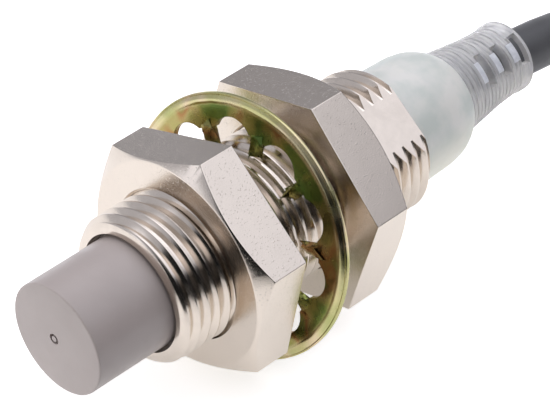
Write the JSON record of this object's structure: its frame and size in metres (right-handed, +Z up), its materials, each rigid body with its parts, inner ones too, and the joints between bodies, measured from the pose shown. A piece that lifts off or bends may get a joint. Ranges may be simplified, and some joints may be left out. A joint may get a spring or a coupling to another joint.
{
  "type": "proximity sensor",
  "caption": "Cylindrical inductive proximity sensor with a protruding sensing cap, threaded M12 barrel, clamping nuts, toothed washer and moulded-on cable.",
  "frame": {"origin": "middle of the flat sensing face", "axes": "+X from the sensing face along the barrel towards the cable, +Z up, +Y to the left of +X seen from above"},
  "size_m": [0.1526, 0.037, 0.0253],
  "materials": {
    "cap_plastic": "fine satin moulded plastic, warm grey",
    "ferrite": "dull dark grey ceramic ferrite",
    "bobbin_plastic": "natural nylon",
    "copper": "enamelled copper wire",
    "board_laminate": "green solder mask",
    "component_black": "moulded epoxy",
    "resistor_ceramic": "glazed thick film",
    "capacitor_ceramic": "fired ceramic",
    "led_lens": "tinted epoxy lens",
    "solder": "bright solder",
    "resin": "cast epoxy resin",
    "barrel_nickel": "bright nickel plating on turned brass",
    "nut_nickel": "satin nickel plating on brass",
    "washer_chromate": "yellow iridescent chromate on zinc plated steel",
    "cover_milky": "milky translucent moulding",
    "relief_clear": "clear flexible moulding",
    "cable_pvc": "dark grey PVC jacket",
    "tie_plastic": "black plastic coated tie",
    "wire_blue": "blue PVC insulation",
    "wire_black": "black PVC insulation",
    "wire_brown": "brown PVC insulation",
    "tinned_copper": "tinned copper strands"
  },
  "bodies": {
    "sensor": {"sensing_cap": "cap_plastic", "ferrite_core": "ferrite", "coil_bobbin": "bobbin_plastic", "coil_winding": "copper", "coil_leads": "copper", "circuit_board": "board_laminate", "control_ic": "component_black", "output_transistor": "component_black", "protection_diode": "component_black", "resistors": "resistor_ceramic", "capacitors": "capacitor_ceramic", "indicator_led": "led_lens", "solder_joints": "solder", "blue_wire": "wire_blue", "black_wire": "wire_black", "brown_wire": "wire_brown", "potting_resin": "resin", "threaded_barrel": "barrel_nickel", "rear_cover": "cover_milky", "strain_relief": "relief_clear", "cable_jacket": "cable_pvc", "cable_hank": "cable_pvc", "cable_end": "cable_pvc", "hank_tie": "tie_plastic", "blue_tail": "wire_blue", "black_tail": "wire_black", "brown_tail": "wire_brown", "bare_tips": "tinned_copper"},
    "washer": {"toothed_washer": "washer_chromate"},
    "front_nut": {"front_nut": "nut_nickel"},
    "rear_nut": {"rear_nut": "nut_nickel"}
  },
  "joints": [
    {"name": "washer_slide", "type": "slide", "parent": "sensor", "child": "washer", "axis": [1, 0, 0], "range_m": [-0.00401, 0.00101]},
    {"name": "front_nut_turn", "type": "hinge", "parent": "washer", "child": "front_nut", "pos_m": [0.0136, 0, 0], "axis": [1, 0, 0], "range_deg": [-1440, 360]},
    {"name": "rear_nut_slide", "type": "slide", "parent": "sensor", "child": "rear_nut", "axis": [1, 0, 0], "range_m": [-0.001, 0.005]}
  ],
  "couplings": [
    {"joint": "washer_slide", "follows": "front_nut_turn", "m_per_rad": 0.00015915}
  ]
}
